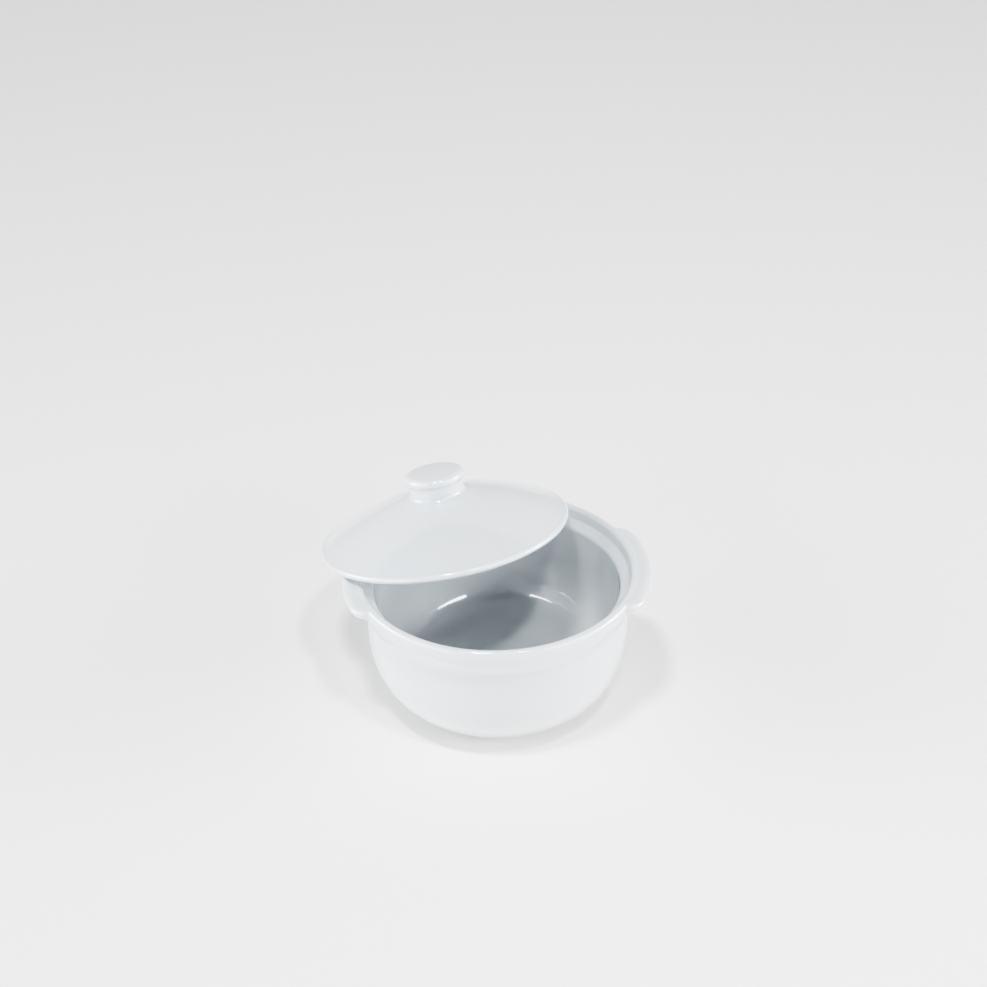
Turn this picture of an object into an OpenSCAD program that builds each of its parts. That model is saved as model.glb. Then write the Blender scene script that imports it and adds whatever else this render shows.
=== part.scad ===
// Lidded porcelain pot: a bowl with two ear lugs and a stepped rim, and a domed lid
// with a round knob, lying askew across the rim.
// Millimetres. The bowl's axis is Z, its foot stands on z = 0, and the lugs are at +X and -X.

/* [Bowl] */
// Height of the bowl from the foot to the top of the rim
bowl_h = 85; // [80:1:95]
// Outer radius of the wall under the flared rim
wall_r = 76.5; // [74:0.5:78]
// Thickness of the wall
wall_t = 4.9; // [4:0.1:5.5]
// Thickness of the floor
floor_t = 5.5; // [4:0.5:8]
// Outer radius of the flat bottom inside the curve of the belly
belly_flat_r = 36; // [30:1:40]
// Fullness of the belly: 2 is an ellipse, more is squarer
belly_power = 2.5; // [2:0.1:3]
// Height at which the straight wall turns into the belly
belly_top = 54.5; // [50:0.5:60]

/* [Foot ring] */
// Outer radius of the foot ring
foot_r = 42; // [40:0.5:44]
// Width of the foot ring
foot_w = 5; // [3:0.5:6]
// Height of the foot ring
foot_h = 2; // [1.5:0.1:2.5]

/* [Rim] */
// Outer radius of the rim
rim_r = 82.8; // [82.6:0.1:85]
// Radius of the rounded top of the rim
lip_r = 2.8; // [2.4:0.1:2.8]
// Height of the upright band under the rounded top
rim_band = 2.2; // [1.5:0.1:4]
// Height over which the rim flares out from the wall
flare_h = 17; // [12:1:20]
// Outer radius of the ledge that carries the lid
ledge_r = 77; // [76:0.1:77]
// Depth of the ledge's outer edge below the top of the rim
ledge_depth = 6.4; // [5:0.1:8]
// How far the ledge slopes down towards the inside
ledge_drop = 2.6; // [1:0.1:3]

/* [Lugs] */
// Outer radius of the lugs, from the bowl's axis
lug_r = 89.8; // [88:0.1:94]
// Thickness of the lugs
lug_t = 6; // [5.3:0.1:7]
// Radius of the lugs' round ends, seen from above
lug_end_r = 7; // [6:0.5:8]
// Angle from the middle of a lug to the centre of its round end
lug_half_angle = 22.5; // [14:0.5:24]
// Radius of the lugs' rounded upper and lower edges
lug_edge_r = 2.6; // [1.5:0.1:2.6]

/* [Lid] */
// Outer radius of the lid
lid_r = 74.5; // [74.3:0.1:74.5]
// Radius of the lid's rounded edge
lid_edge_r = 2.2; // [2:0.1:2.5]
// Height of the lid's crown above its lower edge, under the knob
lid_h = 28.4; // [27.4:0.1:29]
// Shape of the dome: 1 is a cone, 2 is a parabola
dome_power = 1.6; // [1.5:0.05:2]
// Thickness of the dome
lid_t = 4.2; // [3.5:0.1:4.4]

/* [Knob] */
// Radius of the knob
knob_r = 17.5; // [15:0.5:19]
// Radius of the knob where it stands on the lid
knob_base_r = 16.2; // [14:0.1:16.4]
// Height of the knob's top above the lid's lower edge
knob_top = 40.5; // [39:0.5:44]
// Radius of the rounded edge of the knob's cap
knob_edge_r = 3; // [2.4:0.1:3.2]
// How far the knob's neck is drawn in under the cap
knob_neck = 1.6; // [1.2:0.1:1.8]
// How far the middle of the knob's top is raised
knob_crown = 0.6; // [0.2:0.1:1]

/* [Place of the lid] */
// Sideways place of the lid's centre
lid_x = -30; // [-30.2:0.1:-30]
// Place of the lid's centre towards the back
lid_y = 38.7; // [38.7:0.1:38.9]
// Height of the lid's lower edge at its centre, above the foot
lid_z = 84.3; // [84.3:0.1:95]
// Tilt of the lid
lid_tilt = 14.4; // [14.3:0.1:14.5]
// Direction towards which the lid leans down
lid_lean = 124; // [123.8:0.1:124]

/* [Hidden] */
$fn = 96;

// Lengths of the curves' segments
belly_steps = 28;
arc_steps = 8;
flare_steps = 14;
dome_steps = 28;

// Derived places on the bowl
belly_h = belly_top - foot_h;
inner_r = wall_r - wall_t;
lip_ring_r = rim_r - lip_r;
lip_z = bowl_h - lip_r;
band_z = bowl_h - lip_r - rim_band;
flare_z = band_z - flare_h;
ledge_z = bowl_h - ledge_depth;
floor_z = foot_h + floor_t;
inner_flat_r = belly_flat_r - 2;
edge_round = 2.2;
foot_round = 0.8;

// Derived places on the lugs, whose tops lie just under the top of the rim
lug_z = bowl_h - 0.4;
lug_ring_r = lug_r - lug_end_r;

// Derived places on the lid
dome_r = lid_r - lid_edge_r;
edge_h = 2 * lid_edge_r;
fillet_r = 2.6;
seat_h = dome_height(knob_base_r + fillet_r) + fillet_r;
cap_z = knob_top - knob_crown - knob_edge_r;
inner_dome_r = dome_r - 1.6;

// A quarter or any part of a circle, from angle a to angle b
function arc(x, y, r, a, b, n) =
    [for (i = [0:n]) let (t = a + (b - a) * i / n) [x + r * cos(t), y + r * sin(t)]];

// The belly, from its flat bottom up to the straight wall
function belly(flat_r, r, depth) =
    [for (i = [0:belly_steps]) let (t = 90 * (1 - i / belly_steps))
        [flat_r + (r - flat_r) * pow(abs(cos(t)), 2 / belly_power),
         belly_top - depth * pow(abs(sin(t)), 2 / belly_power)]];

// The flare, a smooth step from the wall out to the upright band of the rim
function flare() =
    [for (i = [1:flare_steps]) let (t = i / flare_steps)
        [wall_r + (rim_r - wall_r) * t * t * (3 - 2 * t), flare_z + flare_h * t]];

// Height of the dome's outer surface above the lid's lower edge
function dome_height(r) = edge_h + (lid_h - edge_h) * (1 - pow(r / dome_r, dome_power));

// The bowl's outside, from the bottom inside the foot ring up to the top of the rim
function outer_line() = concat(
    [[0, foot_h], [foot_r - foot_w - foot_round, foot_h]],
    [[foot_r - foot_w, foot_h - foot_round]],
    arc(foot_r - foot_w + foot_round, foot_round, foot_round, 180, 270, 4),
    arc(foot_r - foot_round, foot_round, foot_round, 270, 360, 4),
    [for (p = belly(belly_flat_r, wall_r, belly_h)) if (p[0] > foot_r + 0.5) p],
    flare(),
    arc(lip_ring_r, lip_z, lip_r, 0, 90, arc_steps));

// The bowl's inside, from the top of the rim down to the floor
function inner_line() = concat(
    arc(lip_ring_r, lip_z, lip_r, 90, 180, arc_steps),
    [[ledge_r, ledge_z]],
    arc(inner_r + edge_round, ledge_z - ledge_drop - edge_round, edge_round, 100, 180, 5),
    [for (i = [belly_steps:-1:1]) belly(inner_flat_r, inner_r, belly_top - floor_z)[i]],
    [[inner_flat_r, floor_z], [0, floor_z]]);

// The space that the bowl's outside encloses, and everything above it
module bowl_outside() {
    rotate_extrude() polygon(concat(
        outer_line(), [[lip_ring_r, bowl_h + 5], [0, bowl_h + 5]]));
}

module pot_bowl() {
    color("white") rotate_extrude() polygon(concat(outer_line(), inner_line()));
}

// Half the section of a lug: flat, with rounded edges on the outside
function lug_half() = concat(
    [[0, lug_z - lug_t]],
    arc(lug_end_r - lug_edge_r, lug_z - lug_t + lug_edge_r, lug_edge_r, 270, 360, arc_steps),
    arc(lug_end_r - lug_edge_r, lug_z - lug_edge_r, lug_edge_r, 0, 90, arc_steps),
    [[0, lug_z]]);

// A lug at +X: a curved bar with half-round ends, cut away where the bowl is
module lug() {
    difference() {
        union() {
            rotate([0, 0, -lug_half_angle]) rotate_extrude(angle = 2 * lug_half_angle)
                translate([lug_ring_r, 0]) union() {
                    polygon(lug_half());
                    mirror([1, 0]) polygon(lug_half());
                }
            for (side = [-1, 1])
                rotate([0, 0, side * lug_half_angle]) translate([lug_ring_r, 0, 0])
                    rotate([0, 0, 90 * side - 90]) rotate_extrude(angle = 180) polygon(lug_half());
        }
        bowl_outside();
    }
}

module right_lug() {
    color("whitesmoke") lug();
}

module left_lug() {
    color("whitesmoke") mirror([1, 0, 0]) lug();
}

// Everything on the lid is drawn about its own axis, its lower edge at 0, and put here
module place_lid() {
    translate([lid_x, lid_y, lid_z]) rotate([0, lid_tilt, lid_lean]) children();
}

// The dome's outer line, from the knob's seat out to the rounded edge
function dome_line() = concat(
    arc(knob_base_r + fillet_r, seat_h, fillet_r, 180, 250, arc_steps),
    [for (i = [1:dome_steps]) let (r = knob_base_r + fillet_r
        + (dome_r - knob_base_r - fillet_r) * i / dome_steps) [r, dome_height(r)]]);

// The hollow's line, from the edge up to the crown
function hollow_line() =
    [for (i = [0:dome_steps]) let (r = inner_dome_r * (1 - i / dome_steps))
        [r, max(0, dome_height(r * dome_r / inner_dome_r) - lid_t)]];

module lid_dome() {
    color("snow") place_lid() rotate_extrude() polygon(concat(
        [[0, seat_h]],
        dome_line(),
        arc(dome_r, lid_edge_r, lid_edge_r, 80, -90, 2 * arc_steps),
        hollow_line()));
}

module lid_knob() {
    color("ghostwhite") place_lid() rotate_extrude() polygon(concat(
        [[0, seat_h], [knob_base_r, seat_h], [knob_r - knob_neck, cap_z - knob_edge_r]],
        arc(knob_r - knob_edge_r, cap_z, knob_edge_r, -50, 80, 2 * arc_steps),
        [[0, knob_top]]));
}

pot_bowl();
left_lug();
right_lug();
lid_dome();
lid_knob();
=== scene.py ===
import math

import bpy
import numpy as np
from mathutils import Matrix, Vector


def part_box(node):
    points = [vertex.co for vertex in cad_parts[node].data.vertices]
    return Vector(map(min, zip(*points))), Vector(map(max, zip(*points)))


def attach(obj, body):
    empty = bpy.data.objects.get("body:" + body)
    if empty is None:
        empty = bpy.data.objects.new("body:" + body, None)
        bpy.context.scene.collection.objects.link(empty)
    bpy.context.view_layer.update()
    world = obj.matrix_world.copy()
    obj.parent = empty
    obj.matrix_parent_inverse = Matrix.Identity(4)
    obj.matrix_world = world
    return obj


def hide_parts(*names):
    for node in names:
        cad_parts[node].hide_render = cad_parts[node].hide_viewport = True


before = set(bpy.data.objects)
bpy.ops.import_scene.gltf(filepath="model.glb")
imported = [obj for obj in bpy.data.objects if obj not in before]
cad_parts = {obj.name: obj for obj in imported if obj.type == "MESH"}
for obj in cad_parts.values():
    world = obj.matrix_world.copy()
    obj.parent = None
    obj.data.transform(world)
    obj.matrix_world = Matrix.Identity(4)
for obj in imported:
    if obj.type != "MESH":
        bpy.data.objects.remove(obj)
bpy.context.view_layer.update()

MM = 0.001

# ---------------------------------------------------------------- measures of the CAD part, in mm
BOWL_LOW, BOWL_HIGH = (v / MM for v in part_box("pot_bowl"))
RIGHT_LOW, RIGHT_HIGH = (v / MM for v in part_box("right_lug"))
LID_LOW, LID_HIGH = (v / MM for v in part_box("lid_dome"))

RIM_R = min(BOWL_HIGH.x, -BOWL_LOW.x, BOWL_HIGH.y, -BOWL_LOW.y) - 0.001
BOWL_H = BOWL_HIGH.z
LUG_R = RIGHT_HIGH.x - 0.001
LUG_TOP = RIGHT_HIGH.z
LUG_LOW = RIGHT_LOW.z

# The bowl's shape, which is the CAD's with softer corners
WALL_R, WALL_T = 76.5, 4.9
FLOOR_Z, FOOT_H, FOOT_R, FOOT_W = 7.5, 2.0, 42.0, 5.0
BELLY_FLAT_R, BELLY_TOP, BELLY_POWER = 36.0, 54.5, 2.5
LIP_R, RIM_BAND, FLARE_H = 2.5, 2.5, 17.0
LEDGE_R, LEDGE_DEPTH, LEDGE_DROP, LEDGE_EDGE_R = 77.0, 6.4, 2.6, 2.4

# The lid's shape about its own axis, its lower edge at 0
LID_R, LID_EDGE_R, LID_H, DOME_POWER, LID_T = 74.5, 2.2, 28.4, 1.6, 4.2
KNOB_R, KNOB_BASE_R, KNOB_TOP = 17.5, 16.2, 40.5
KNOB_EDGE_R, KNOB_CROWN, KNOB_NECK = 3.0, 0.6, 1.6
SEAT_FILLET_R = 2.6
LID_TILT, LID_LEAN = math.radians(14.4), math.radians(124)

# The lugs seen from above: full width up to one angle, gone into the rim at the next
LUG_FULL_ANGLE, LUG_END_ANGLE, LUG_ZONE_ANGLE = 21.0, 29.0, 31.5
# The lugs' section: where it leaves the wall, its rounded edge, and the fillet under it
LUG_WALL_Z, LUG_EDGE_X, LUG_EDGE_Z, LUG_FILLET = 71.0, 4.0, 3.0, 3.0
LUG_SHOULDER, LUG_BLEND = 2.2, 0.3

# Spacing of the points along a fine line, and how widely each section's corners are rounded
STEP = 0.05
BOWL_SOFTENING, LID_SOFTENING = 0.45, 0.35
# Fine points left out beside the axis, where a mesh has one point instead of a ring
AXIS_GAP = 12
# How strongly a bend counts for the glaze that gathers or thins there, with the painted shade in
# hollows and painted highlight on edges that go with it
BEND_GAIN = 2.2
# How far the bowl is dented under a lug, and how far behind the bowl's surface a lug is closed
DENT_DEPTH, LUG_BACK_DEPTH = 0.5, 0.25
# Columns of each half of a lug near its end, and of the bowl between its lugs
LUG_END_COLUMNS, GAP_COLUMNS = 49, 118

# Tint of the soft boxes
LIGHT_TINT = (0.965, 1.0, 1.03)


# ---------------------------------------------------------------- curves of radius and height
def arc(x, y, r, start, end, n=24, ry=None):
    """Part of a circle or an ellipse, in degrees."""
    t = np.radians(np.linspace(start, end, n + 1))
    return np.column_stack([x + r * np.cos(t), y + (ry or r) * np.sin(t)])


def line(*points):
    return np.array(points, float)


def resample(points, step):
    """The same line with points at one even spacing."""
    points = np.asarray(points, float)
    gap = np.hypot(*np.diff(points, axis=0).T)
    points = points[np.r_[True, gap > 1e-9]]
    run = np.r_[0, np.cumsum(np.hypot(*np.diff(points, axis=0).T))]
    n = max(2, int(round(run[-1] / step)) + 1)
    at = np.linspace(0, run[-1], n)
    return np.column_stack([np.interp(at, run, points[:, i]) for i in (0, 1)])


def soften(points, sigma, step=STEP):
    """Rounds a line's corners, keeping its two ends where they are."""
    dense = resample(points, step)
    half = int(4 * sigma / step)
    kernel = np.exp(-0.5 * (np.arange(-half, half + 1) * step / sigma) ** 2)
    kernel /= kernel.sum()
    before = 2 * dense[0] - dense[half:0:-1]
    after = 2 * dense[-1] - dense[-2:-half - 2:-1]
    padded = np.vstack([before, dense, after])
    soft = np.column_stack([np.convolve(padded[:, i], kernel, "valid") for i in (0, 1)])
    return soft


def nearest(points, r, z):
    return int(np.argmin(np.hypot(points[:, 0] - r, points[:, 1] - z)))


def bend(points):
    """How much the line turns per mm: above 0 where it is hollow, seen from its left side."""
    d = np.gradient(points, axis=0)
    angle = np.unwrap(np.arctan2(d[:, 1], d[:, 0]))
    return np.gradient(angle) / np.hypot(*d.T)


def stops(bends, spans, first, last, turn=0.075, longest=2.5):
    """Indices along a line where a mesh gets its rows: close together only where it bends."""
    out, turned, run = [first], 0.0, 0.0
    for i in range(first + 1, last):
        turned += sum(abs(b[i]) * s[i] for b, s in zip(bends, spans))
        run += max(s[i] for s in spans)
        if turned >= turn or run >= longest:
            out.append(i)
            turned, run = 0.0, 0.0
    return out + [last]


def span_of(points):
    return np.hypot(*np.gradient(points, axis=0).T)


# ---------------------------------------------------------------- the bowl's section
def belly(flat_r, r, depth, n=120):
    t = np.radians(np.linspace(90, 0, n + 1))
    across = np.abs(np.cos(t)) ** (2 / BELLY_POWER)
    down = np.abs(np.sin(t)) ** (2 / BELLY_POWER)
    return np.column_stack([flat_r + (r - flat_r) * across, BELLY_TOP - depth * down])


def flare(n=60):
    t = np.linspace(0, 1, n + 1)
    band_z = BOWL_H - LIP_R - RIM_BAND
    out = WALL_R + (RIM_R - WALL_R) * t * t * (3 - 2 * t)
    return np.column_stack([out, band_z - FLARE_H + FLARE_H * t])


def foot_line():
    """From the middle of the underside, over the foot ring, out to the belly."""
    inside = FOOT_R - FOOT_W
    return np.vstack([
        line((0, FOOT_H), (inside - 1.0, FOOT_H)),
        arc(inside + 0.9, 0.9, 0.9, 180, 270),
        arc(FOOT_R - 0.9, 0.9, 0.9, 270, 360),
    ])


def bowl_line():
    """From the middle of the underside round the rim to the middle of the floor."""
    outer = belly(BELLY_FLAT_R, WALL_R, BELLY_TOP - FOOT_H)
    inner = belly(BELLY_FLAT_R - 2, WALL_R - WALL_T, BELLY_TOP - FLOOR_Z)[::-1]
    ledge_z = BOWL_H - LEDGE_DEPTH
    inner_r = WALL_R - WALL_T
    return np.vstack([
        foot_line(),
        outer[outer[:, 0] > FOOT_R + 0.6],
        flare(),
        arc(RIM_R - LIP_R, BOWL_H - LIP_R, LIP_R, 0, 180),
        line((LEDGE_R, ledge_z)),
        arc(inner_r + LEDGE_EDGE_R, ledge_z - LEDGE_DROP - LEDGE_EDGE_R, LEDGE_EDGE_R, 105, 180),
        inner[:-1],
        line((BELLY_FLAT_R - 2, FLOOR_Z), (0, FLOOR_Z)),
    ])


def bezier(a, b, c, n=30):
    """A smooth bend from a to c, pulled towards b."""
    t = np.linspace(0, 1, n + 1)[:, None]
    return (1 - t) ** 2 * np.array(a) + 2 * t * (1 - t) * np.array(b) + t ** 2 * np.array(c)


def lug_line(side, share):
    """A lug's section where it has this share of its full reach, from the top of the rim
    to the wall below. Side is the bowl's own line there."""
    start, low = side[0], LUG_LOW + 0.1
    reach = RIM_R + share * (LUG_R - RIM_R)
    top = BOWL_H - share * (BOWL_H - LUG_TOP)
    edge_x = LIP_R + share * (LUG_EDGE_X - LIP_R)
    edge_z = LIP_R + share * (LUG_EDGE_Z - LIP_R)
    mid, shoulder = top - edge_z, min(start[0] + LUG_SHOULDER, reach - edge_x)
    join = side[side[:, 1] < low - LUG_FILLET]
    section = resample(np.vstack([
        line(start, ((start[0] + shoulder) / 2, (start[1] + top) / 2), (shoulder, top)),
        arc(reach - edge_x, mid, edge_x, 90, 0, ry=edge_z),
        arc(reach - edge_x * 0.8, mid, edge_x * 0.8, 0, -90, ry=mid - low),
        bezier((join[0, 0] + LUG_FILLET * share, low), (join[0, 0] + 0.5 * share, low), join[0]),
        join[1:],
    ]), STEP)
    under = section[:, 1] < mid
    bowl_r = np.interp(section[under, 1], side[::-1, 1], side[::-1, 0])
    section[under, 0] = np.maximum(section[under, 0], bowl_r)
    return section


# ---------------------------------------------------------------- the lid's section
def dome_height(r):
    edge_h, reach = 2 * LID_EDGE_R, LID_R - LID_EDGE_R
    return edge_h + (LID_H - edge_h) * (1 - (r / reach) ** DOME_POWER)


def lid_line():
    """From the middle of the knob's top over the dome and its edge to the middle of the hollow."""
    seat_r = KNOB_BASE_R + SEAT_FILLET_R
    seat_h = dome_height(seat_r) + SEAT_FILLET_R
    reach = LID_R - LID_EDGE_R
    cap_z = KNOB_TOP - KNOB_CROWN - KNOB_EDGE_R
    crown_r = np.linspace(0, KNOB_R - KNOB_EDGE_R, 20)
    crown = KNOB_TOP - KNOB_CROWN * (crown_r / crown_r[-1]) ** 2
    dome_r = np.linspace(seat_r, reach, 120)[1:]
    under_r = np.linspace(reach - 1.6, 0, 120)
    under = np.maximum(0, dome_height(under_r * reach / (reach - 1.6)) - LID_T)
    return np.vstack([
        np.column_stack([crown_r, crown]),
        arc(KNOB_R - KNOB_EDGE_R, cap_z, KNOB_EDGE_R, 84, -50),
        line((KNOB_R - KNOB_NECK, cap_z - KNOB_EDGE_R), (KNOB_BASE_R, seat_h)),
        arc(seat_r, seat_h, SEAT_FILLET_R, 180, 250),
        np.column_stack([dome_r, dome_height(dome_r)]),
        arc(reach, LID_EDGE_R, LID_EDGE_R, 80, -90),
        np.column_stack([under_r, under]),
    ]), seat_h


# ---------------------------------------------------------------- meshes
def make_object(name, verts, faces, normals, attributes, materials, face_material=None):
    mesh = bpy.data.meshes.new(name)
    mesh.from_pydata((np.asarray(verts) * MM).tolist(), [], faces)
    mesh.update()
    for key, values in attributes.items():
        attribute = mesh.attributes.new(key, "FLOAT", "POINT")
        attribute.data.foreach_set("value", np.asarray(values, np.float32))
    mesh.polygons.foreach_set("use_smooth", [True] * len(mesh.polygons))
    for m in materials:
        mesh.materials.append(m)
    if face_material is not None:
        mesh.polygons.foreach_set("material_index", face_material)
    mesh.normals_split_custom_set_from_vertices(np.asarray(normals).tolist())
    obj = bpy.data.objects.new(name, mesh)
    bpy.context.scene.collection.objects.link(obj)
    return obj


def spun(radius, height, out_r, out_z, angles):
    """Places and normals on a surface of revolution, one row for each point of its section."""
    c, s, one = np.cos(angles), np.sin(angles), np.ones_like(angles)
    verts = np.stack([np.outer(radius, c), np.outer(radius, s), np.outer(height, one)], 2)
    normals = np.stack([np.outer(out_r, c), np.outer(out_r, s), np.outer(out_z, one)], 2)
    return verts, normals


def section_normals(points):
    d = np.gradient(points, axis=0)
    d /= np.hypot(*d.T)[:, None]
    return d[:, 1], -d[:, 0]


def ring_faces(rows, columns):
    faces = []
    for i in range(rows - 1):
        a, b = i * columns, (i + 1) * columns
        for j in range(columns):
            k = (j + 1) % columns
            faces.append((a + j, a + k, b + k, b + j))
    return faces


def lathe(name, points, rows, angles, materials, pool_and_painted_light, closed_by=(None, None), dent=None,
          ring=None):
    """A closed mesh of revolution. A section that ends on the axis gets one point there,
    and one that doesn't is closed with a flat disc."""
    out_r, out_z = section_normals(points)
    verts, normals = spun(points[rows, 0], points[rows, 1], out_r[rows], out_z[rows], angles)
    if dent is not None:
        verts = verts - normals * dent[:, :, None]
    shade = np.repeat(pool_and_painted_light[rows], len(angles))
    n = len(angles)
    flat_v, flat_n = verts.reshape(-1, 3).tolist(), normals.reshape(-1, 3).tolist()
    faces = ring_faces(len(rows), n)
    marks = [0] * len(faces)
    if ring is not None:
        marks = [1 if ring[i] else 0 for i in range(len(rows) - 1) for _ in range(n)]
    shade = list(shade)
    ends = ((0, points[rows[0]], closed_by[0], True),
            ((len(rows) - 1) * n, points[rows[-1]], closed_by[1], False))
    for base, end, cap, first in ends:
        z = end[1] if cap is None else cap
        tip = len(flat_v)
        flat_v.append([0, 0, z])
        up = -1.0 if first == (points[0, 1] < points[-1, 1]) else 1.0
        flat_n.append([0, 0, up])
        shade.append(0.0)
        for j in range(n):
            k = (j + 1) % n
            tri = (base + k, base + j, tip) if first else (base + j, base + k, tip)
            faces.append(tri)
            marks.append(0)
    return make_object(name, flat_v, faces, flat_n, {"pool_and_painted_light": shade}, materials, marks)


def bend_strength(points, width=0.8):
    """How strongly a line bends, smoothed and kept between -1 and 1."""
    k = bend(points)
    half = int(3 * width / STEP)
    kernel = np.exp(-0.5 * (np.arange(-half, half + 1) * STEP / width) ** 2)
    padded = np.pad(k, half, mode="edge")
    return np.tanh(BEND_GAIN * np.convolve(padded, kernel / kernel.sum(), "valid"))


# ---------------------------------------------------------------- glaze and other finishes
def new_material(name):
    mat = bpy.data.materials.new(name)
    mat.use_nodes = True
    tree = mat.node_tree
    return mat, tree.nodes, tree.links, tree.nodes["Principled BSDF"]


def noise(nodes, links, coord, scale, detail=2.0, rough=0.5, name="Noise"):
    n = nodes.new("ShaderNodeTexNoise")
    n.label = name
    n.inputs["Scale"].default_value = scale
    n.inputs["Detail"].default_value = detail
    n.inputs["Roughness"].default_value = rough
    links.new(coord, n.inputs["Vector"])
    return n


def span(nodes, links, value, low, high, to_low=0.0, to_high=1.0):
    m = nodes.new("ShaderNodeMapRange")
    m.inputs["From Min"].default_value = low
    m.inputs["From Max"].default_value = high
    m.inputs["To Min"].default_value = to_low
    m.inputs["To Max"].default_value = to_high
    links.new(value, m.inputs["Value"])
    return m.outputs["Result"]


def mixed(nodes, links, share, a, b):
    """Mixes two colours, each a fixed colour or a socket."""
    m = nodes.new("ShaderNodeMix")
    m.data_type, m.blend_type = "RGBA", "MIX"
    for key, value in ((6, a), (7, b)):
        if isinstance(value, tuple):
            m.inputs[key].default_value = (*value, 1)
        else:
            links.new(value, m.inputs[key])
    links.new(share, m.inputs[0])
    return m.outputs[2]


def glaze(name, seed):
    """White porcelain under a clear gloss glaze: bluer and darker in hollow bends, partly pooled
    glaze and partly painted shade, and lighter on rounded edges, partly thin glaze and partly a
    painted highlight.
    """
    mat, nodes, links, shader = new_material(name)
    texture = nodes.new("ShaderNodeTexCoord")
    place = nodes.new("ShaderNodeMapping")
    place.inputs["Location"].default_value = (seed, seed * 0.7, seed * 0.4)
    links.new(texture.outputs["Object"], place.inputs["Vector"])
    coord = place.outputs["Vector"]
    pool_and_painted_light = nodes.new("ShaderNodeAttribute")
    pool_and_painted_light.attribute_name = "pool_and_painted_light"

    body = (0.649, 0.671, 0.686)
    warm = (0.658, 0.676, 0.685)
    cloud = noise(nodes, links, coord, 22.0, 3.0, name="Cloudy body")
    tone = mixed(nodes, links, span(nodes, links, cloud.outputs["Fac"], 0.35, 0.65), body, warm)
    # Hollow bends get a darker blue: partly glaze pooled there, partly painted shade in the
    # creases.
    pooled_and_shaded = span(nodes, links, pool_and_painted_light.outputs["Fac"], 0.05, 0.9)
    tone = mixed(nodes, links, pooled_and_shaded, tone, (0.580, 0.620, 0.646))
    # Rounded edges get lighter: partly glaze thinned there, partly a painted highlight.
    thinned_and_highlit = span(nodes, links, pool_and_painted_light.outputs["Fac"], -0.15, -0.95, 0.0, 0.55)
    tone = mixed(nodes, links, thinned_and_highlit, tone, (0.720, 0.734, 0.744))
    grain = noise(nodes, links, coord, 900.0, 2.0, name="Grain")
    tone = mixed(nodes, links, span(nodes, links, grain.outputs["Fac"], 0.2, 0.8, 0.0, 0.03),
                 tone, (0.56, 0.58, 0.60))
    cells = nodes.new("ShaderNodeTexVoronoi")
    cells.label = "Pinholes"
    cells.inputs["Scale"].default_value = 130.0
    links.new(coord, cells.inputs["Vector"])
    near = span(nodes, links, cells.outputs["Distance"], 0.045, 0.02)
    apart = nodes.new("ShaderNodeSeparateColor")
    links.new(cells.outputs["Color"], apart.inputs["Color"])
    rare = span(nodes, links, apart.outputs["Red"], 0.985, 0.99)
    both = nodes.new("ShaderNodeMath")
    both.operation = "MULTIPLY"
    links.new(near, both.inputs[0])
    links.new(rare, both.inputs[1])
    tone = mixed(nodes, links, span(nodes, links, both.outputs[0], 0, 1, 0, 0.5),
                 tone, (0.42, 0.38, 0.33))
    links.new(tone, shader.inputs["Base Color"])

    patch = noise(nodes, links, coord, 60.0, 2.0, name="Patchy gloss")
    links.new(span(nodes, links, patch.outputs["Fac"], 0.3, 0.7, 0.16, 0.24),
              shader.inputs["Roughness"])
    shader.inputs["IOR"].default_value = 1.52
    shader.inputs["Specular IOR Level"].default_value = 0.35
    shader.inputs["Coat Weight"].default_value = 1.0
    shader.inputs["Coat IOR"].default_value = 1.7
    links.new(span(nodes, links, patch.outputs["Fac"], 0.3, 0.7, 0.025, 0.05),
              shader.inputs["Coat Roughness"])

    wave = noise(nodes, links, coord, 42.0, 1.5, name="Waves in the glaze")
    peel = noise(nodes, links, coord, 260.0, 2.0, name="Orange peel")
    first = nodes.new("ShaderNodeBump")
    first.inputs["Strength"].default_value = 0.35
    first.inputs["Distance"].default_value = 0.0006
    links.new(wave.outputs["Fac"], first.inputs["Height"])
    second = nodes.new("ShaderNodeBump")
    second.inputs["Strength"].default_value = 0.25
    second.inputs["Distance"].default_value = 0.00003
    links.new(peel.outputs["Fac"], second.inputs["Height"])
    links.new(first.outputs["Normal"], second.inputs["Normal"])
    links.new(second.outputs["Normal"], shader.inputs["Coat Normal"])
    return mat


def bisque(name):
    """The bare, dry ring that the pot stood on in the kiln."""
    mat, nodes, links, shader = new_material(name)
    texture = nodes.new("ShaderNodeTexCoord")
    coord = texture.outputs["Object"]
    sand = noise(nodes, links, coord, 1400.0, 3.0, name="Fine sand")
    soil = noise(nodes, links, coord, 70.0, 3.0, name="Kiln wash")
    tone = mixed(nodes, links, span(nodes, links, sand.outputs["Fac"], 0.3, 0.7),
                 (0.66, 0.64, 0.60), (0.76, 0.74, 0.71))
    tone = mixed(nodes, links, span(nodes, links, soil.outputs["Fac"], 0.5, 0.75, 0.0, 0.4),
                 tone, (0.55, 0.50, 0.44))
    links.new(tone, shader.inputs["Base Color"])
    links.new(span(nodes, links, sand.outputs["Fac"], 0.3, 0.7, 0.6, 0.85),
              shader.inputs["Roughness"])
    rough = nodes.new("ShaderNodeBump")
    rough.inputs["Strength"].default_value = 0.5
    rough.inputs["Distance"].default_value = 0.00008
    links.new(sand.outputs["Fac"], rough.inputs["Height"])
    links.new(rough.outputs["Normal"], shader.inputs["Normal"])
    return mat


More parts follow.
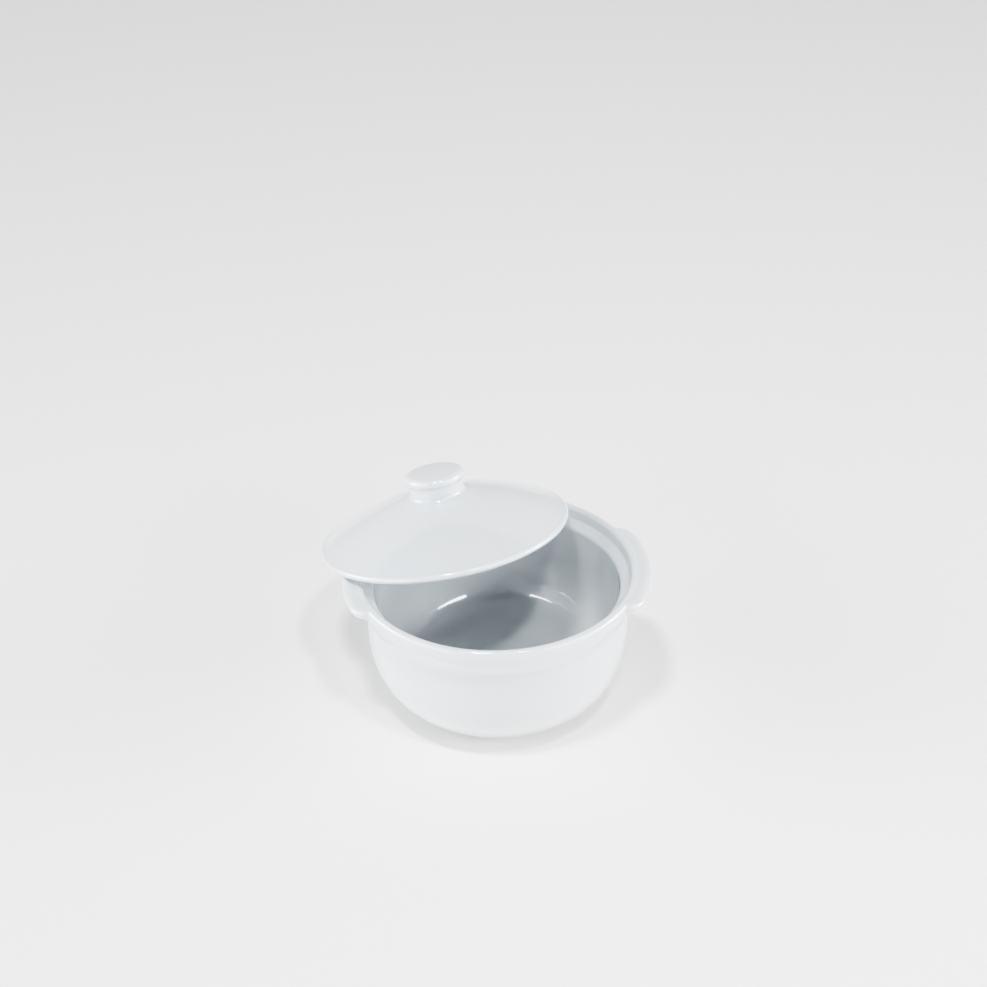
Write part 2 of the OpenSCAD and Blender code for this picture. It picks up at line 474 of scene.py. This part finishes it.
# ---------------------------------------------------------------- the pot
def lug_angles():
    """Columns of a lug, in degrees from its middle: closer together at its ends."""
    near = np.arange(0, LUG_FULL_ANGLE - 2, 1.0)
    far = np.linspace(LUG_FULL_ANGLE - 2, LUG_ZONE_ANGLE, LUG_END_COLUMNS)
    half = np.r_[near, far]
    return np.r_[-half[:0:-1], half]


def even_angles():
    """Columns of the bowl: those of the lugs where they join, and even ones between them."""
    zone = lug_angles()
    gap = np.linspace(LUG_ZONE_ANGLE, 180 - LUG_ZONE_ANGLE, GAP_COLUMNS)[1:-1]
    return np.radians(np.r_[zone, gap, 180 + zone, 180 + gap])


def lug_share(angle):
    """How far a lug stands out: 1 in its middle and 0 where it has gone into the rim."""
    step, spread, fade, half = 0.02, 0.55, 1.2, 120
    fine = np.arange(-LUG_ZONE_ANGLE, LUG_ZONE_ANGLE + step / 2, step)
    t = np.clip((np.abs(fine) - LUG_FULL_ANGLE) / (LUG_END_ANGLE - LUG_FULL_ANGLE), 0, 1)
    share = (1 - t ** 2.6) ** 0.65
    reach = np.arange(-half, half + 1) * step
    kernel = np.exp(-0.5 * (reach / spread) ** 2)
    soft = np.convolve(np.pad(share, half), kernel / kernel.sum(), "valid")
    edge = np.clip((LUG_ZONE_ANGLE - np.abs(fine)) / fade, 0, 1)
    return np.interp(angle, fine, soft * edge * edge * (3 - 2 * edge))


def even_points(points, n):
    """The line's points at n even steps."""
    run = np.r_[0, np.cumsum(np.hypot(*np.diff(points, axis=0).T))]
    at = np.linspace(0, run[-1], n)
    return np.column_stack([np.interp(at, run, points[:, i]) for i in (0, 1)])


def lug_sections(side, shares):
    """The section under each angle of a lug, as rows of points from the wall up to the rim."""
    out = []
    for share in shares:
        t = min(1.0, share / LUG_BLEND)
        full = even_points(soften(lug_line(side[::-1], share), BOWL_SOFTENING), len(side))[::-1]
        out.append(side + t * t * (3 - 2 * t) * (full - side))
    return np.stack(out, 1)


def bowl_parts():
    """The section, a lug's sections, the mesh's rows, and the stretch of them under the lugs."""
    points = soften(bowl_line(), BOWL_SOFTENING)
    points[[0, -1], 0] = 0
    top = int(np.argmax(points[:, 1]))
    low = int(np.argmin(np.abs(points[:top, 1] - LUG_WALL_Z)))
    lug = lug_sections(points[low:top + 1], lug_share(lug_angles()))
    k, s = bend(points), span_of(points)
    bends, spans = [k], [s]
    half_way = int(np.argmin(np.abs(lug_share(lug_angles()) - 0.5)))
    for column in (lug.shape[1] // 2, half_way):
        bends.append(k.copy())
        spans.append(s.copy())
        bends[-1][low:top + 1] = bend(lug[:, column])
        spans[-1][low:top + 1] = span_of(lug[:, column])
    first = stops([k], [s], AXIS_GAP, low)
    middle = stops(bends, spans, low, top, turn=0.12, longest=0.8)
    last = stops([k], [s], top, len(points) - 1 - AXIS_GAP)
    return points, lug, np.array(first + middle[1:] + last[1:]), low, top


def lug_front(lug, angles, middle_angle):
    """Places and normals of a lug's outside."""
    a = np.radians(angles + middle_angle)[None, :]
    r, z = lug[:, :, 0], lug[:, :, 1]
    front = np.stack([r * np.cos(a), r * np.sin(a), z], 2)
    along = np.gradient(front, axis=0)
    across = np.gradient(front, a[0], axis=1)
    normals = np.cross(across, along)
    return front, normals / np.linalg.norm(normals, axis=2)[:, :, None]


def make_lug(name, points, lug, rows, low, top, middle_angle, materials):
    """A sheet from the bowl's own surface out over the lug, closed just behind that surface."""
    inside = rows[(rows >= low) & (rows <= top)]
    at = inside - low
    angles = lug_angles()
    front, normals = lug_front(lug, angles, middle_angle)
    front, normals = front[at], normals[at]
    out_r, out_z = section_normals(points)
    back, back_n = spun(points[inside, 0], points[inside, 1], out_r[inside], out_z[inside],
                        np.radians(angles + middle_angle))
    for edge in (np.s_[0, :], np.s_[-1, :], np.s_[:, 0], np.s_[:, -1]):
        front[edge], normals[edge] = back[edge], back_n[edge]
    back = back - LUG_BACK_DEPTH * back_n
    rows_n, cols_n = front.shape[:2]
    number = np.arange(rows_n * cols_n).reshape(rows_n, cols_n)
    rear = number.copy()
    rear[1:-1, 1:-1] = number.size + np.arange((rows_n - 2) * (cols_n - 2)).reshape(rows_n - 2, -1)
    faces = []
    for i in range(rows_n - 1):
        for j in range(cols_n - 1):
            faces.append((number[i, j], number[i, j + 1], number[i + 1, j + 1], number[i + 1, j]))
            faces.append((rear[i, j], rear[i + 1, j], rear[i + 1, j + 1], rear[i, j + 1]))
    faces = [tuple(int(v) for v in f) for f in faces]
    verts = np.vstack([front.reshape(-1, 3), back[1:-1, 1:-1].reshape(-1, 3)])
    flat_n = np.vstack([normals.reshape(-1, 3), -back_n[1:-1, 1:-1].reshape(-1, 3)])
    bends = np.stack([bend(lug[:, j])[at] for j in range(cols_n)], 1)
    # Signed bend of each lug section for the glaze tint: pooled glaze with painted shade in
    # hollows, thin glaze with a painted highlight on edges.
    shade = np.r_[-np.tanh(BEND_GAIN * bends).reshape(-1), np.zeros((rows_n - 2) * (cols_n - 2))]
    return make_object(name, verts, faces, flat_n, {"pool_and_painted_light": shade}, materials)


def make_pot(finish, dry):
    points, lug, rows, low, top = bowl_parts()
    angles = even_angles()
    covered = np.zeros((len(rows), len(angles)))
    degrees = np.degrees(angles)
    off_lug = np.minimum(np.abs((degrees + 180) % 360 - 180), np.abs(degrees % 360 - 180))
    hidden_rows = (rows > low) & (rows < top)
    covered[np.ix_(hidden_rows, off_lug < LUG_ZONE_ANGLE - 0.01)] = DENT_DEPTH
    r, z = points[rows, 0], points[rows, 1]
    ring = (z < 0.35) & (r > FOOT_R - FOOT_W) & (r < FOOT_R)
    # Signed bend of the section for the glaze tint: pooled glaze with painted shade in hollows,
    # thin glaze with a painted highlight on edges.
    pool_and_painted_light = -bend_strength(points)
    bowl = lathe("pot_bowl_look", points, rows, angles, [finish, dry], pool_and_painted_light,
                 dent=covered, ring=ring)
    right = make_lug("right_lug_look", points, lug, rows, low, top, 0.0, [finish])
    left = make_lug("left_lug_look", points, lug, rows, low, top, 180.0, [finish])
    for obj, node in ((bowl, "pot_bowl"), (right, "right_lug"), (left, "left_lug")):
        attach(obj, "pot")
        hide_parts(node)


# ---------------------------------------------------------------- the lid
def lid_place():
    """The lid's own frame, found from the CAD lid's box and its tilt."""
    turn = Matrix.Rotation(LID_LEAN, 3, "Z") @ Matrix.Rotation(LID_TILT, 3, "Y")
    axis = turn @ Vector((0, 0, 1))
    reach = LID_R - LID_EDGE_R
    ring_low = LID_LOW.z + reach * math.sin(LID_TILT) + LID_EDGE_R
    middle = Vector(((LID_LOW.x + LID_HIGH.x) / 2, (LID_LOW.y + LID_HIGH.y) / 2, ring_low))
    origin = middle - axis * LID_EDGE_R
    return Matrix.Translation(origin * MM) @ turn.to_4x4()


def make_lid(finish):
    raw, seat_h = lid_line()
    points = soften(raw, LID_SOFTENING)
    points[[0, -1], 0] = 0
    seam = nearest(points, KNOB_BASE_R, seat_h)
    k, s = bend(points), span_of(points)
    # Signed bend of the section for the glaze tint: pooled glaze with painted shade in hollows,
    # thin glaze with a painted highlight on edges.
    pool_and_painted_light = bend_strength(points)
    angles = np.radians(np.arange(0, 360, 1.0))
    knob_rows = np.array(stops([k], [s], AXIS_GAP, seam))
    dome_rows = np.array(stops([k], [s], seam, len(points) - 1 - AXIS_GAP))
    flipped = points[::-1].copy()
    last = len(points) - 1
    knob = lathe("lid_knob_look", flipped, (last - knob_rows)[::-1], angles, [finish], pool_and_painted_light[::-1],
                 closed_by=(points[seam, 1], None))
    dome = lathe("lid_dome_look", flipped, (last - dome_rows)[::-1], angles, [finish], pool_and_painted_light[::-1],
                 closed_by=(None, points[seam, 1] - 0.5))
    place = lid_place()
    for obj, node in ((knob, "lid_knob"), (dome, "lid_dome")):
        obj.data.transform(place)
        obj.data.update()
        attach(obj, "lid")
        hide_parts(node)


# ---------------------------------------------------------------- stage
def paper(name):
    mat, nodes, links, shader = new_material(name)
    texture = nodes.new("ShaderNodeTexCoord")
    soft = noise(nodes, links, texture.outputs["Object"], 1.5, 2.0, name="Soft shade")
    tone = mixed(nodes, links, span(nodes, links, soft.outputs["Fac"], 0.3, 0.7),
                 (0.950, 0.905, 0.864), (0.960, 0.915, 0.874))
    links.new(tone, shader.inputs["Base Color"])
    shader.inputs["Roughness"].default_value = 0.9
    shader.inputs["Specular IOR Level"].default_value = 0.1
    return mat


def make_floor():
    """A pale sheet that runs flat under the pot and rises in a wide curve far behind it."""
    back, rise, half, front = 2.2, 1.4, 9.0, 7.0
    bend_steps, wall_top = 24, 4.0
    line_yz = [(-front, 0.0), (back, 0.0)]
    for i in range(1, bend_steps + 1):
        t = math.radians(90 * i / bend_steps)
        line_yz.append((back + rise * math.sin(t), rise * (1 - math.cos(t))))
    line_yz.append((back + rise, wall_top))
    verts = [(x, y, z) for y, z in line_yz for x in (-half, half)]
    faces = [(2 * i, 2 * i + 1, 2 * i + 3, 2 * i + 2) for i in range(len(line_yz) - 1)]
    mesh = bpy.data.meshes.new("floor")
    mesh.from_pydata(verts, [], faces)
    mesh.polygons.foreach_set("use_smooth", [True] * len(mesh.polygons))
    mesh.materials.append(paper("paper"))
    floor = bpy.data.objects.new("floor", mesh)
    bpy.context.scene.collection.objects.link(floor)


def direction(azimuth, elevation):
    """Azimuth 0 is in front (-Y) and 90 at the right (+X), in degrees."""
    a, e = math.radians(azimuth), math.radians(elevation)
    return Vector((math.sin(a) * math.cos(e), -math.cos(a) * math.cos(e), math.sin(e)))


def softbox(name, azimuth, elevation, distance, width, height, watts):
    """A light box aimed at the pot."""
    data = bpy.data.lights.new(name, "AREA")
    data.shape, data.size, data.size_y = "RECTANGLE", width, height
    data.energy, data.color = watts, LIGHT_TINT
    lamp = bpy.data.objects.new(name, data)
    aim = Vector((0, 0, 0.06))
    off = direction(azimuth, elevation)
    lamp.location = aim + off * distance
    lamp.rotation_mode = "QUATERNION"
    lamp.rotation_quaternion = off.to_track_quat("Z", "Y")
    bpy.context.scene.collection.objects.link(lamp)


def room_light(lobes):
    """A wide, soft glow round the room: each lobe is (azimuth, elevation, sharpness, share)."""
    world = bpy.data.worlds.new("room")
    world.use_nodes = True
    nodes, links = world.node_tree.nodes, world.node_tree.links
    way = nodes.new("ShaderNodeTexCoord").outputs["Generated"]
    total = None
    for azimuth, elevation, sharpness, share in lobes:
        dot = nodes.new("ShaderNodeVectorMath")
        dot.operation = "DOT_PRODUCT"
        dot.inputs[1].default_value = direction(azimuth, elevation)
        links.new(way, dot.inputs[0])
        value = dot.outputs["Value"]
        for operation, number in (("MAXIMUM", 0.0), ("POWER", sharpness), ("MULTIPLY", share)):
            step = nodes.new("ShaderNodeMath")
            step.operation = operation
            step.inputs[1].default_value = number
            links.new(value, step.inputs[0])
            value = step.outputs[0]
        if total is not None:
            add = nodes.new("ShaderNodeMath")
            add.operation = "ADD"
            links.new(total, add.inputs[0])
            links.new(value, add.inputs[1])
            value = add.outputs[0]
        total = value
    links.new(total, nodes["Background"].inputs["Strength"])
    nodes["Background"].inputs["Color"].default_value = (0.915, 0.99, 1.065, 1)
    bpy.context.scene.world = world


def make_lights():
    softbox("key_left", -25, 72, 1.9, 0.26, 0.18, 18.2)
    softbox("key_right", 28, 65, 1.9, 0.15, 0.15, 11.4)
    softbox("side_left", -47, 26, 1.7, 0.65, 0.09, 3.0)
    softbox("side_right", 50, 26, 1.7, 0.95, 0.2, 12.0)
    room_light([(90, 3, 24, 21.5), (270, 0, 8, 7.2), (270, 5, 24, 8.2), (315, 5, 24, 4.4)])


def make_camera():
    """Looks down at the pot from the front, rolled a little."""
    eye = Vector((0, -956.21, 736.98)) * MM
    aim = Vector((-0.54, 0, 135.90)) * MM
    look = (aim - eye).normalized()
    right = look.cross(Vector((0, 0, 1))).normalized()
    up = right.cross(look)
    roll = math.radians(-1.5)
    turned_right = right * math.cos(roll) + up * math.sin(roll)
    turned_up = up * math.cos(roll) - right * math.sin(roll)
    data = bpy.data.cameras.new("camera")
    data.lens, data.sensor_width = 72.95, 36.0
    data.clip_start, data.clip_end = 0.05, 50
    camera = bpy.data.objects.new("camera", data)
    camera.matrix_world = Matrix.Translation(eye) @ Matrix(
        (turned_right, turned_up, -look)).transposed().to_4x4()
    bpy.context.scene.collection.objects.link(camera)
    bpy.context.scene.camera = camera


def set_view():
    view = bpy.context.scene.view_settings
    view.view_transform = "AgX"
    view.look = "AgX - Very High Contrast"
    view.exposure = 0.0


set_view()
pot_glaze = glaze("pot_glaze", 0.0)
lid_glaze = glaze("lid_glaze", 3.7)
make_pot(pot_glaze, bisque("foot_bisque"))
make_lid(lid_glaze)
make_floor()
make_lights()
make_camera()
